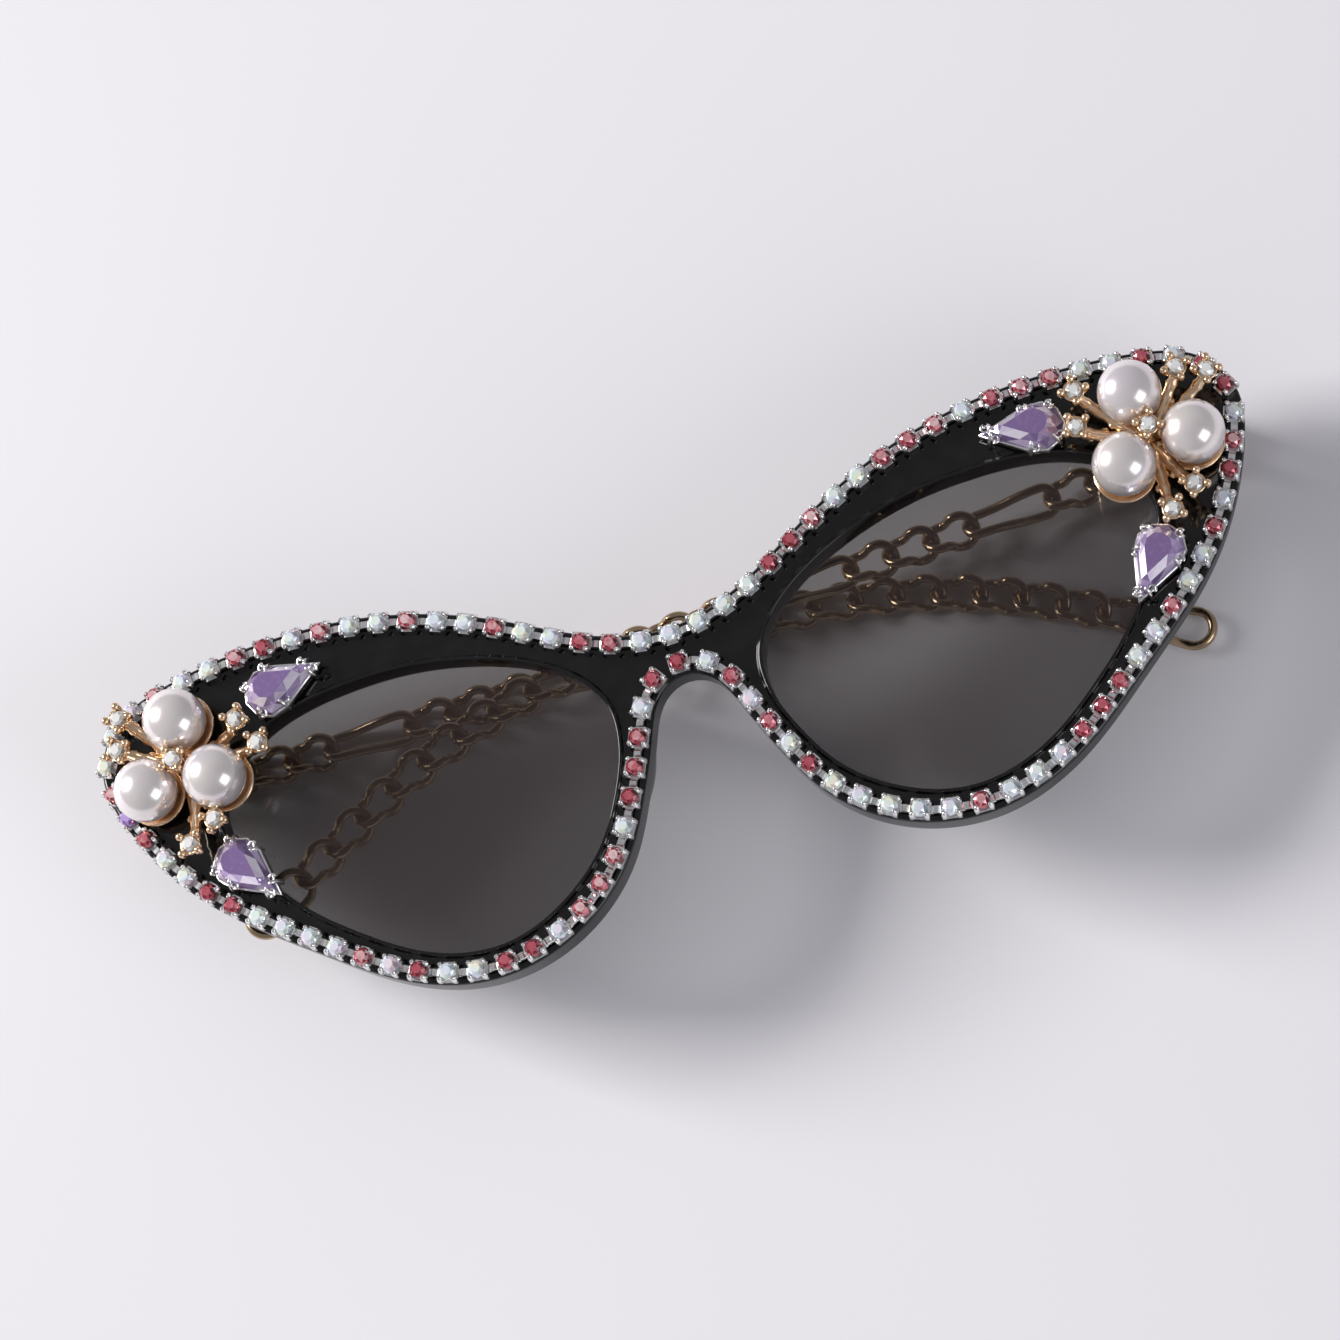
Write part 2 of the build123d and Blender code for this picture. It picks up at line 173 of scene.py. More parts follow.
# ---- Front ------------------------------------------------------------------------------------
# One sheet of black acetate, milled to outline, bent to the face over a former and tumbled until
# every edge is round and wet-bright. A turned step and a fine groove frame each lens opening.
FACE_RADIUS = 408 * mm
THICKNESS = 3.6 * mm
RIM_HEIGHT = 0.45 * mm
EDGE_ROUND = 0.55 * mm
RIM_FALL = 0.12 * mm         # how far the face has bent back where the rims come nearest the middle
OUTER_POINTS = 420
OPENING_POINTS = 220
SHORTEST_OPENING = 50 * mm   # what is shorter round than this is no lens opening
WELD_DISTANCE = 0.002 * mm
LEVEL_SLACK = 0.06 * mm      # how far from a height an edge may lie and still count as on it
face_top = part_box("front_frame")[1][2] - RIM_HEIGHT + RIM_FALL
face_axis = face_top - FACE_RADIUS


def on_face(x, y, height=0.0):
    """The point over x, y on the bent front, this far out of its face."""
    share = (FACE_RADIUS + height) / FACE_RADIUS
    return Vector((x * share, y, face_axis + math.sqrt(FACE_RADIUS**2 - x * x) * share))


def face_normal(x):
    return Vector((x / FACE_RADIUS, 0, math.sqrt(1 - (x / FACE_RADIUS) ** 2)))


def welded(node):
    shape = bmesh.new()
    shape.from_mesh(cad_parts[node].data)
    bmesh.ops.remove_doubles(shape, verts=shape.verts, dist=WELD_DISTANCE)
    return shape


def rim_loops(height):
    """The closed edges of the front's face at a height, each as points in order, longest first."""
    shape = welded("front_frame")
    links = {}
    for edge in shape.edges:
        middle = (edge.verts[0].co + edge.verts[1].co) / 2
        out = math.hypot(middle.x, middle.z - face_axis) - FACE_RADIUS
        if abs(out - height) > LEVEL_SLACK or len(edge.link_faces) != 2:
            continue
        facing = sorted(abs(face.normal.dot(face_normal(middle.x))) for face in edge.link_faces)
        if facing[0] < 0.5 and facing[1] > 0.9:
            a, b = edge.verts
            links.setdefault(a, []).append(b)
            links.setdefault(b, []).append(a)
    loops = []
    while links:
        start = next(iter(links))
        loop = [start]
        while True:
            onward = [v for v in links.pop(loop[-1], []) if v in links]
            if not onward:
                break
            loop.append(onward[0])
        loops.append([v.co.copy() for v in loop])
    shape.free()
    return sorted(loops, key=len_round, reverse=True)


def len_round(points):
    return sum((points[i] - points[i - 1]).length for i in range(len(points)))


def even_points(points, count):
    """The same closed outline with evenly spaced points, in x and y."""
    total = len_round(points)
    spaced, run, need = [], 0.0, 0.0
    for i in range(len(points)):
        here = points[i]
        step = points[(i + 1) % len(points)] - here
        while step.length > 0 and need <= run + step.length and len(spaced) < count:
            spot = here + step * ((need - run) / step.length)
            spaced.append(Vector((spot.x, spot.y)))
            need += total / count
        run += step.length
    for _ in range(2):
        spaced = [(spaced[i - 1] + spaced[i] * 2 + spaced[(i + 1) % count]) / 4 for i in range(count)]
    return spaced


def add_wall(shape, normals, outline, profile, inward):
    """A closed wall round an outline. Profile points are (distance into the material, height)."""
    count = len(outline)
    rings = []
    for k, (depth, height) in enumerate(profile):
        before = profile[max(k - 1, 0)]
        after = profile[min(k + 1, len(profile) - 1)]
        slope = Vector((after[0] - before[0], after[1] - before[1])).normalized()
        if k == 0:
            slope = Vector((-1, 0))
        elif k == len(profile) - 1:
            slope = Vector((1, 0))
        ring = []
        for i in range(count):
            way = (outline[(i + 1) % count] - outline[i - 1]).normalized()
            into = Vector((-way.y, way.x)) * inward
            spot = outline[i] + into * depth
            vertex = shape.verts.new(on_face(spot.x, spot.y, height))
            up = face_normal(spot.x)
            normals.append(up * -slope.x + Vector((into.x, into.y, 0)) * slope.y)
            ring.append(vertex)
        rings.append(ring)
    for upper, lower in zip(rings, rings[1:]):
        for i in range(count):
            shape.faces.new((upper[i], upper[(i + 1) % count], lower[(i + 1) % count], lower[i]))
    return rings[0], rings[-1]


def round_over(top, bottom, radius, steps=4):
    """Profile points down a wall between two heights, with both edges rounded."""
    turn = [math.pi / 2 * i / steps for i in range(steps + 1)]
    points = [(radius * (1 - math.sin(a)), top - radius * (1 - math.cos(a))) for a in turn]
    return points + [(radius * (1 - math.cos(a)), bottom + radius * (1 - math.sin(a))) for a in turn]


def turning(outline):
    """1 for an outline that runs anticlockwise seen from the front, or -1."""
    area = sum(outline[i - 1].cross(outline[i]) for i in range(len(outline)))
    return 1 if area > 0 else -1


outer = even_points(rim_loops(0)[0], OUTER_POINTS)
rims = [loop for loop in rim_loops(RIM_HEIGHT) if len_round(loop) > SHORTEST_OPENING]
openings = [even_points(loop, OPENING_POINTS) for loop in rims]
openings = sorted(openings, key=lambda loop: sum(p.length for p in loop))[:2]
shape = bmesh.new()
normals = []
opening_profile = [
    (0.95 * mm, 0.0), (0.80 * mm, -0.10 * mm), (0.62 * mm, 0.02 * mm), (0.52 * mm, 0.28 * mm),
    (0.40 * mm, 0.43 * mm), (0.20 * mm, 0.45 * mm), (0.06 * mm, 0.38 * mm), (0.0, 0.22 * mm),
]
edge_profile = round_over(0, -THICKNESS, EDGE_ROUND)
opening_profile += edge_profile[len(edge_profile) // 2:]
walls = [add_wall(shape, normals, outer, edge_profile, turning(outer))]
for opening in openings:
    walls.append(add_wall(shape, normals, opening, opening_profile, -turning(opening)))
for level in (0, 1):
    edges = []
    for wall in walls:
        ring = wall[level]
        edges += [shape.edges.get((ring[i - 1], ring[i])) for i in range(len(ring))]
    bmesh.ops.triangle_fill(shape, use_beauty=True, edges=edges)
bmesh.ops.recalc_face_normals(shape, faces=shape.faces)
for face in shape.faces:
    face.smooth = True
mesh = bpy.data.meshes.new("acetate_front")
shape.to_mesh(mesh)
shape.free()
mesh.normals_split_custom_set_from_vertices([n.normalized() for n in normals])
front = link_object("acetate_front", mesh)


def acetate_paint(shade):
    depth = grain(shade, 380, 3)
    haze = grain(shade, 2600, 2)
    colour = ramp(shade, depth, (0.35, (0.003, 0.003, 0.003)), (0.75, (0.007, 0.006, 0.007)))
    ripple = shade.add("ShaderNodeBump", None, {"Strength": 0.03, "Distance": 0.0002, "Height": depth})
    gloss = 0.04 + haze * 0.06
    return {"Base Color": colour, "Roughness": gloss, "Specular IOR Level": 0.45, "Normal": ripple}


black_acetate = finish_of("black_acetate", acetate_paint)
mesh.materials.append(black_acetate)
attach(front, "front")
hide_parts("front_frame")


# ---- Nose pads --------------------------------------------------------------------------------
# Two solid pads of the same acetate, bonded behind the nose sides of the rims and polished in.
def ball(shape, centre, size, turn=None, rings=8, around=16):
    """A round lump with its poles closed, stretched by size and turned."""
    grown = Matrix.Diagonal((*size, 1))
    where = Matrix.Translation(centre) @ (turn or Matrix.Identity(4)) @ grown
    made = bmesh.ops.create_uvsphere(shape, u_segments=around, v_segments=rings, radius=1, matrix=where)
    for vertex in made["verts"]:
        for face in vertex.link_faces:
            face.smooth = True


def as_piece(shape, name, material, slot, *replaced, body="front"):
    mesh = bpy.data.meshes.new(name)
    bmesh.ops.recalc_face_normals(shape, faces=shape.faces)
    shape.to_mesh(mesh)
    shape.free()
    mesh.materials.append(material)
    piece = link_object(name, mesh)
    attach(piece, body)
    if replaced:
        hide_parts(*replaced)
    return piece


PAD_OUT = 8.9 * mm           # from the middle of the bridge
PAD_UP = 20.2 * mm           # above the lowest point of the front
PAD_SIZE = (1.65 * mm, 5.4 * mm, 3.3 * mm)
PAD_LEAN = 22
pads = bmesh.new()
for side in (1, -1):
    spot = on_face(side * PAD_OUT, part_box("front_frame")[0][1] + PAD_UP, -THICKNESS)
    lean = Matrix.Rotation(math.radians(PAD_LEAN * side), 4, "Z")
    ball(pads, spot, PAD_SIZE, lean, 16, 28)
as_piece(pads, "nose_pads", black_acetate, "black_acetate")


# ---- Lenses -----------------------------------------------------------------------------------
# Two grey smoke lenses, cut from a bent sheet and snapped into the groove round each opening.
# The tint is even, with the faint unevenness of dyed acrylic.
def smoke_paint(shade):
    cloud = grain(shade, 30)
    colour = ramp(shade, cloud, (0.3, (0.022, 0.014, 0.013)), (0.7, (0.030, 0.020, 0.018)))
    tint = 0.54 + cloud * 0.03
    return {"Base Color": colour, "Roughness": 0.03, "Specular IOR Level": 0.4, "Alpha": tint}


smoke = finish_of("smoke_lens", smoke_paint)
for side in ("left", "right"):
    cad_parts[f"{side}_lens"].data.materials.clear()
    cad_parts[f"{side}_lens"].data.materials.append(smoke)


# ---- Cup chain --------------------------------------------------------------------------------
# Stamped silver-plated cups joined by short bars, glued along the edge: four prongs fold over
# each stone. One run follows the brow from tip to tip and another goes back under the lenses.
def loose_parts(node):
    """The separate solids of a CAD node, each as its corner points."""
    shape = welded(node)
    parts, seen = [], set()
    for first in shape.verts:
        if first in seen:
            continue
        seen.add(first)
        part, waiting = [], [first]
        while waiting:
            vertex = waiting.pop()
            part.append(vertex.co.copy())
            for edge in vertex.link_edges:
                other = edge.other_vert(vertex)
                if other not in seen:
                    seen.add(other)
                    waiting.append(other)
        parts.append(part)
    shape.free()
    return parts


def middle_of(points):
    low = Vector([min(p[i] for p in points) for i in range(3)])
    high = Vector([max(p[i] for p in points) for i in range(3)])
    return (low + high) / 2


def foot_of(points):
    """Where a piece stands: its middle, brought down to its lowest point along the front's normal."""
    middle = middle_of(points)
    up = face_normal(middle.x)
    lowest = min((p - middle).dot(up) for p in points)
    return middle + up * lowest


def standing(x, way):
    """The turn that stands a piece on the front with its own X along a direction."""
    up = face_normal(x)
    along = (way - up * way.dot(up)).normalized()
    return Matrix((along, up.cross(along), up)).transposed()


def copies_tree():
    """Geometry Nodes: one piece copied to every point, turned as the point says."""
    tree = bpy.data.node_groups.new("set_in_place", "GeometryNodeTree")
    tree.interface.new_socket("Places", in_out="INPUT", socket_type="NodeSocketGeometry")
    tree.interface.new_socket("Piece", in_out="INPUT", socket_type="NodeSocketObject")
    tree.interface.new_socket("Size", in_out="INPUT", socket_type="NodeSocketFloat")
    tree.interface.new_socket("Finish", in_out="INPUT", socket_type="NodeSocketMaterial")
    tree.interface.new_socket("Set", in_out="OUTPUT", socket_type="NodeSocketGeometry")
    given = tree.nodes.new("NodeGroupInput")
    result = tree.nodes.new("NodeGroupOutput")
    piece = tree.nodes.new("GeometryNodeObjectInfo")
    turn = tree.nodes.new("GeometryNodeInputNamedAttribute")
    turn.data_type = "FLOAT_VECTOR"
    turn.inputs["Name"].default_value = "turn"
    angle = tree.nodes.new("FunctionNodeEulerToRotation")
    put = tree.nodes.new("GeometryNodeInstanceOnPoints")
    real = tree.nodes.new("GeometryNodeRealizeInstances")
    paint = tree.nodes.new("GeometryNodeSetMaterial")
    join = tree.links.new
    join(given.outputs["Places"], put.inputs["Points"])
    join(given.outputs["Piece"], piece.inputs["Object"])
    join(piece.outputs["Geometry"], put.inputs["Instance"])
    join(turn.outputs["Attribute"], angle.inputs[0])
    join(angle.outputs[0], put.inputs["Rotation"])
    join(given.outputs["Size"], put.inputs["Scale"])
    join(put.outputs["Instances"], real.inputs["Geometry"])
    join(real.outputs["Geometry"], paint.inputs["Geometry"])
    join(given.outputs["Finish"], paint.inputs["Material"])
    join(paint.outputs["Geometry"], result.inputs["Set"])
    return tree


set_in_place = copies_tree()
luck = random.Random(7)


def set_copies(name, shape, places, material, replaced=(), size=1.0, body="front"):
    """Copies a small shape to (point, turn) places and bakes them into one plain mesh."""
    pattern_mesh = bpy.data.meshes.new(f"{name}_pattern")
    shape.to_mesh(pattern_mesh)
    pattern = link_object(f"{name}_pattern", pattern_mesh)
    holder_mesh = bpy.data.meshes.new(f"{name}_places")
    holder_mesh.from_pydata([point for point, turn in places], [], [])
    holder_mesh.attributes.new("turn", "FLOAT_VECTOR", "POINT")
    holder_mesh.attributes.new("tint", "FLOAT", "POINT")
    for i, (point, turn) in enumerate(places):
        holder_mesh.attributes["turn"].data[i].vector = turn.to_euler("XYZ")
        holder_mesh.attributes["tint"].data[i].value = luck.random()
    holder = link_object(f"{name}_places", holder_mesh)
    modifier = holder.modifiers.new("set", "NODES")
    modifier.node_group = set_in_place
    given = {"Piece": pattern, "Size": size, "Finish": material}
    for socket in set_in_place.interface.items_tree:
        if socket.in_out == "INPUT" and socket.name in given:
            modifier[socket.identifier] = given[socket.name]
    graph = bpy.context.evaluated_depsgraph_get()
    finished = holder.evaluated_get(graph)
    mesh = bpy.data.meshes.new_from_object(finished, preserve_all_data_layers=True, depsgraph=graph)
    bpy.data.objects.remove(holder)
    bpy.data.objects.remove(pattern)
    piece = link_object(name, mesh)
    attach(piece, body)
    if replaced:
        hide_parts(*replaced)
    return piece


def silver_paint(shade):
    wear = grain(shade, 900, 3)
    colour = ramp(shade, wear, (0.3, (0.80, 0.79, 0.79)), (0.65, (0.97, 0.96, 0.96)))
    return {"Base Color": colour, "Metallic": 1.0, "Roughness": 0.10 + wear * 0.16}


silver = finish_of("silver_plate", silver_paint)
CUP_HALF = 1.35 * mm
CUP_WALL = 0.95 * mm
SEAT_RADIUS = 1.18 * mm
PRONG_OUT = 0.98 * mm
PRONG_TOP = 2.0 * mm
PRONG_RADIUS = 0.42 * mm
PRONG_LEAN = 0.2 * mm
BAR_HALF = 0.62 * mm
BAR_THICKNESS = 0.3 * mm
BAR_HUMP = 0.22 * mm


def angles(count, half=0.0):
    """Evenly spaced angles round a circle, turned on by this share of a step."""
    return [math.tau * (i + half) / count for i in range(count)]


def ring_of(shape, points):
    return [shape.verts.new(point) for point in points]


def band(shape, lower, upper, smooth=False):
    count = len(lower)
    for i in range(count):
        face = shape.faces.new((lower[i], lower[(i + 1) % count], upper[(i + 1) % count], upper[i]))
        face.smooth = smooth


def prong(shape, x, y, foot, top, radius, lean):
    """A wire-like prong with a round head, leaning over the stone."""
    inward = Vector((-x, -y, 0)).normalized()
    rings = []
    for share, width in ((0, 1.0), (0.55, 1.0), (0.85, 0.8), (1.0, 0.35)):
        centre = Vector((x, y, foot + (top - foot) * share)) + inward * lean * share**2
        points = [centre + Vector((math.cos(a), math.sin(a), 0)) * radius * width for a in angles(6)]
        rings.append(ring_of(shape, points))
    for lower, upper in zip(rings, rings[1:]):
        band(shape, lower, upper, True)
    shape.faces.new(rings[-1])
    shape.faces.new(rings[0][::-1])


def cup_shape():
    shape = bmesh.new()
    corner = CUP_HALF * 0.72
    square = [(CUP_HALF, -corner), (CUP_HALF, corner), (corner, CUP_HALF), (-corner, CUP_HALF),
              (-CUP_HALF, corner), (-CUP_HALF, -corner), (-corner, -CUP_HALF), (corner, -CUP_HALF)]
    foot = ring_of(shape, [(x * 0.86, y * 0.86, 0) for x, y in square])
    lip = ring_of(shape, [(x * 0.97, y * 0.97, CUP_WALL) for x, y in square])
    seat = [Vector((x, y, 0)).normalized() * SEAT_RADIUS for x, y in square]
    inner = ring_of(shape, [(p.x, p.y, CUP_WALL) for p in seat])
    deep = ring_of(shape, [(p.x * 0.9, p.y * 0.9, CUP_WALL * 0.55) for p in seat])
    band(shape, foot, lip)
    band(shape, lip, inner)
    band(shape, inner, deep)
    shape.faces.new(deep)
    shape.faces.new(foot[::-1])
    for x in (-1, 1):
        for y in (-1, 1):
            corner_x, corner_y = x * PRONG_OUT, y * PRONG_OUT
            prong(shape, corner_x, corner_y, CUP_WALL * 0.6, PRONG_TOP, PRONG_RADIUS, PRONG_LEAN)
    bmesh.ops.recalc_face_normals(shape, faces=shape.faces)
    return shape


def bar_shape():
    """The short strip between two cups, with a soft hump."""
    shape = bmesh.new()
    rows = []
    for share in (-1, -0.4, 0.4, 1):
        top = BAR_THICKNESS + BAR_HUMP * (1 - share * share)
        x = share * BAR_HALF
        corners = [(x, -0.5 * mm, 0), (x, 0.5 * mm, 0), (x, 0.42 * mm, top), (x, -0.42 * mm, top)]
        rows.append(ring_of(shape, corners))
    for lower, upper in zip(rows, rows[1:]):
        band(shape, lower, upper)
    shape.faces.new(rows[0][::-1])
    shape.faces.new(rows[-1])
    bmesh.ops.recalc_face_normals(shape, faces=shape.faces)
    return shape


NARROWEST_CUP = 2 * mm
NEIGHBOUR_REACH = 5 * mm


def chain_places(node):
    """Cup places and bar places of one run, each turned along the run."""
    feet = {"cup": [], "bar": []}
    for part in loose_parts(node):
        width = max((p - q).length for p in part for q in part)
        feet["cup" if width > NARROWEST_CUP else "bar"].append(foot_of(part))
    turned = {}
    for kind, others in (("cup", "cup"), ("bar", "cup")):
        turned[kind] = []
        for foot in feet[kind]:
            near = sorted(feet[others], key=lambda other: (other - foot).length)
            near = [other for other in near if 0.1 * mm < (other - foot).length < NEIGHBOUR_REACH][:2]
            way = near[0] - near[-1] if len(near) > 1 else near[0] - foot
            turned[kind].append((foot, standing(foot.x, way)))
    return turned


for run in ("brow", "rim"):
    places = chain_places(f"{run}_cup_chain")
    set_copies(f"{run}_cups", cup_shape(), places["cup"], silver, [f"{run}_cup_chain"])
    set_copies(f"{run}_bars", bar_shape(), places["bar"], silver)


# ---- Round stones -----------------------------------------------------------------------------
# Pressed glass chatons, foiled behind: an eight-sided table, two rows of crown facets and a
# girdle under the prongs. Ruby red ones alternate freely with crystal under a rainbow coating.
def chaton(radius, foot, top):
    """A round faceted stone. Each facet carries a random painted brightness, from painted shade to a painted
    glint, standing in for the light that foiled glass throws back.
    """
    shape = bmesh.new()
    bright = shape.faces.layers.float.new("facet")

    def circle(r, z, half):
        return ring_of(shape, [(r * math.cos(a), r * math.sin(a), z) for a in angles(8, half)])

    base = circle(radius, foot, 0)
    girdle = circle(radius, foot + (top - foot) * 0.4, 0)
    crown = circle(radius * 0.84, foot + (top - foot) * 0.78, 0.5)
    table = circle(radius * 0.52, top, 0)
    band(shape, base, girdle)
    for i in range(8):
        shape.faces.new((girdle[i], girdle[(i + 1) % 8], crown[i]))
        shape.faces.new((crown[i - 1], girdle[i], crown[i]))
        shape.faces.new((crown[i - 1], crown[i], table[i]))
        shape.faces.new((table[i], crown[i], table[(i + 1) % 8]))
    shape.faces.new(table)
    shape.faces.new(base[::-1])
    bmesh.ops.recalc_face_normals(shape, faces=shape.faces)
    sparkle = random.Random(3)
    for face in shape.faces:
        face[bright] = sparkle.random()
    return shape


def jewel_paint(stops, coat_stops=None, metal=0.25):
    """Foiled glass: each facet's painted brightness runs through a ramp from painted shade, through the
    stone's colour, to a painted glint.
    """
    def paint(shade):
        facet = shade.add("ShaderNodeAttribute", {"attribute_name": "facet"}, out="Fac")
        tint = shade.add("ShaderNodeAttribute", {"attribute_name": "tint"}, out="Fac")
        fleck = grain(shade, 1500, 1)
        mixed = facet * 0.80 + tint * 0.22 + fleck * 0.20 - 0.10
        colour = ramp(shade, mixed, *stops)
        if coat_stops:
            film = grain(shade, 520, 0)
            hue = ramp(shade, film * 1.5 - 0.25, *coat_stops)
            colour = shade.add("ShaderNodeMix", {"data_type": "RGBA", "blend_type": "MULTIPLY"},
                               {0: 0.75, 6: colour, 7: hue}, out=2)
        gloss = 0.04 + fleck * 0.05
        return {"Base Color": colour, "Metallic": metal, "Roughness": gloss, "Coat Weight": 1.0,
                "Coat Roughness": 0.02, "IOR": 1.6}

    return paint


# Facet ramps: each runs from painted shade in the darkest facets, through the glass's own colour, to a
# painted glint at the top. The aurora film is the rainbow coating's own hue.
RUBY_SHADE_TO_GLINT = [
    (0.0, (0.04, 0.001, 0.003)), (0.35, (0.16, 0.005, 0.014)), (0.65, (0.38, 0.025, 0.05)),
    (0.85, (0.66, 0.14, 0.19)), (1.0, (1.0, 0.72, 0.74)),
]
CRYSTAL_SHADE_TO_GLINT = [
    (0.0, (0.24, 0.26, 0.29)), (0.3, (0.60, 0.62, 0.65)), (0.6, (0.93, 0.94, 0.95)), (1.0, (1.0, 1.0, 1.0)),
]
AURORA_FILM = [
    (0.0, (1.0, 0.78, 0.88)), (0.22, (0.84, 0.80, 1.0)), (0.40, (0.72, 0.88, 1.0)), (0.52, (1.0, 1.0, 1.0)),
    (0.64, (0.78, 1.0, 0.92)), (0.80, (1.0, 1.0, 0.72)), (1.0, (1.0, 0.84, 0.80)),
]
# Purple facets, from painted shade through the purple to a painted glint.
PURPLE_SHADE_TO_GLINT = [(0.0, (0.06, 0.015, 0.16)), (0.5, (0.22, 0.09, 0.42)), (1.0, (0.66, 0.5, 0.9))]
stone_finishes = {
    "ruby": finish_of("ruby_glass", jewel_paint(RUBY_SHADE_TO_GLINT, metal=0.45)),
    "aurora": finish_of("aurora_glass", jewel_paint(CRYSTAL_SHADE_TO_GLINT, AURORA_FILM)),
    "purple": finish_of("purple_glass", jewel_paint(PURPLE_SHADE_TO_GLINT)),
}
STONE_RADIUS = 1.19 * mm
STONE_TOP = 1.25 * mm
for run in ("brow", "rim"):
    for colour, finish in stone_finishes.items():
        node = f"{run}_{colour}_stones"
        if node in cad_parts:
            places = []
            for part in loose_parts(node):
                foot = foot_of(part)
                way = Matrix.Rotation(luck.random(), 3, "Z") @ Vector((1, 0, 0))
                places.append((foot, standing(foot.x, way)))
            stone = chaton(STONE_RADIUS, 0, STONE_TOP)
            set_copies(f"{run}_{colour}_set", stone, places, finish, [node])


# ---- Pearls -----------------------------------------------------------------------------------
# Three glass beads at each tip, dipped in pearl essence many times, glued on gold pegs. The coat
# is creamy with a pink and grey cast that drifts over each bead.
def pearl_paint(shade):
    drift = grain(shade, 130, 2)
    skin = grain(shade, 1400, 2)
    colour = ramp(shade, drift, (0.3, (0.86, 0.77, 0.78)), (0.5, (0.95, 0.89, 0.87)),
                  (0.7, (0.89, 0.82, 0.88)))
    dimple = shade.add("ShaderNodeBump", None, {"Strength": 0.02, "Distance": 0.0001, "Height": skin})
    gloss = 0.20 + skin * 0.05
    return {"Base Color": colour, "Metallic": 0.55, "Roughness": gloss, "Coat Weight": 1.0,
            "Coat Roughness": 0.06, "Normal": dimple}


pearl_coat = finish_of("pearl_coat", pearl_paint)
pearl_middles = {"left": [], "right": []}
for side in ("left", "right"):
    for number in (1, 2, 3):
        node = f"{side}_pearl_{number}"
        low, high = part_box(node)
        middle = (Vector(low) + Vector(high)) / 2
        radius = (high[0] - low[0]) / 2
        bead = bmesh.new()
        ball(bead, middle, (radius, radius, radius), None, 32, 64)
        as_piece(bead, f"{side}_bead_{number}", pearl_coat, "pearl", node)
        pearl_middles[side].append(middle)


# ---- Flower castings --------------------------------------------------------------------------
# A gold-plated casting at each tip: three round seats for the pearls, and seven twigs that rise
# between them, each ending in a small cup whose four ball prongs hold a clear stone.
def gold_paint(shade):
    wear = grain(shade, 700, 3)
    colour = ramp(shade, wear, (0.3, (0.76, 0.52, 0.32)), (0.7, (0.98, 0.75, 0.52)))
    pit = shade.add("ShaderNodeBump", None, {"Strength": 0.08, "Distance": 0.0001, "Height": wear})
    return {"Base Color": colour, "Metallic": 1.0, "Roughness": 0.14 + wear * 0.12, "Normal": pit}


gold = finish_of("gold_plate", gold_paint)


def tube(shape, path, widths, around=8):
    """A round bar along a path, its ends closed."""
    rings = []
    for i, point in enumerate(path):
        way = (path[min(i + 1, len(path) - 1)] - path[max(i - 1, 0)]).normalized()
        across = way.cross(Vector((0.13, 0.31, 0.94))).normalized()
        other = way.cross(across)
        spokes = [across * math.cos(a) + other * math.sin(a) for a in angles(around)]
        rings.append(ring_of(shape, [point + spoke * widths[i] for spoke in spokes]))
    for lower, upper in zip(rings, rings[1:]):
        band(shape, lower, upper, True)
    shape.faces.new(rings[0][::-1])
    shape.faces.new(rings[-1])


def bend(start, lift, end, steps=8):
    """A smooth curve from start to end, pulled towards lift."""
    shares = [i / steps for i in range(steps + 1)]
    return [start * (1 - t) ** 2 + lift * 2 * t * (1 - t) + end * t * t for t in shares]


def lathe(shape, profile, where, around=24):
    """A turned shape: profile points are (radius, height), the first and last closed."""
    rings = []
    for radius, height in profile:
        points = [Vector((radius * math.cos(a), radius * math.sin(a), height)) for a in angles(around)]
        rings.append(ring_of(shape, [where @ point for point in points]))
    for lower, upper in zip(rings, rings[1:]):
        band(shape, lower, upper, True)
    shape.faces.new(rings[0][::-1])
    shape.faces.new(rings[-1])


TWIG_PRONG = 0.40 * mm
TWIG_PRONG_BALL = 0.55 * mm


def prong_cup():
    """A small bowl with four ball prongs round its lip."""
    shape = bmesh.new()
    bowl = [(0.4 * mm, -1.1 * mm), (0.75 * mm, -0.75 * mm), (1.15 * mm, -0.25 * mm), (1.35 * mm, 0.25 * mm),
            (1.38 * mm, 0.5 * mm), (1.15 * mm, 0.52 * mm), (1.0 * mm, 0.2 * mm)]
    lathe(shape, bowl, Matrix.Identity(4), 14)
    for a in angles(4, 0.5):
        out = Vector((math.cos(a), math.sin(a), 0))
        up = Vector((0, 0, mm))
        wire = bend(out * 0.9 * mm - up * 0.6, out * 1.8 * mm, out * 1.6 * mm + up * 0.7, 4)
        tube(shape, wire, [TWIG_PRONG] * len(wire), 6)
        ball(shape, out * 1.55 * mm + up * 0.85, (TWIG_PRONG_BALL,) * 3, None, 6, 8)
    bmesh.ops.recalc_face_normals(shape, faces=shape.faces)
    return shape


# Clear facets: on colourless glass the greys are painted shade and the white is a painted glint.
CLEAR_SHADE_TO_GLINT = [
    (0.0, (0.22, 0.22, 0.23)), (0.4, (0.55, 0.55, 0.55)), (0.8, (0.92, 0.92, 0.90)), (1.0, (1.0, 1.0, 1.0)),
]
clear_glass = finish_of("clear_glass", jewel_paint(CLEAR_SHADE_TO_GLINT))
PEARL_RISE = 5.0 * mm        # from the casting's foot to a pearl's middle
PLATE_PROFILE = [(3.7 * mm, 0), (3.9 * mm, 0.3 * mm), (3.6 * mm, 0.85 * mm), (1.0 * mm, 1.0 * mm)]
SEAT_PROFILE = [
    (2.5 * mm, 0), (3.3 * mm, 0.4 * mm), (3.75 * mm, 1.1 * mm), (3.9 * mm, 1.75 * mm), (3.7 * mm, 1.85 * mm),
    (3.1 * mm, 1.35 * mm), (2.2 * mm, 1.2 * mm), (0.8 * mm, 1.0 * mm),
]
TWIG_STEPS = 12
BUDDED_TWIG = 4 * mm         # a twig that reaches out further than this carries buds
CLEAR_RADIUS = 1.12 * mm
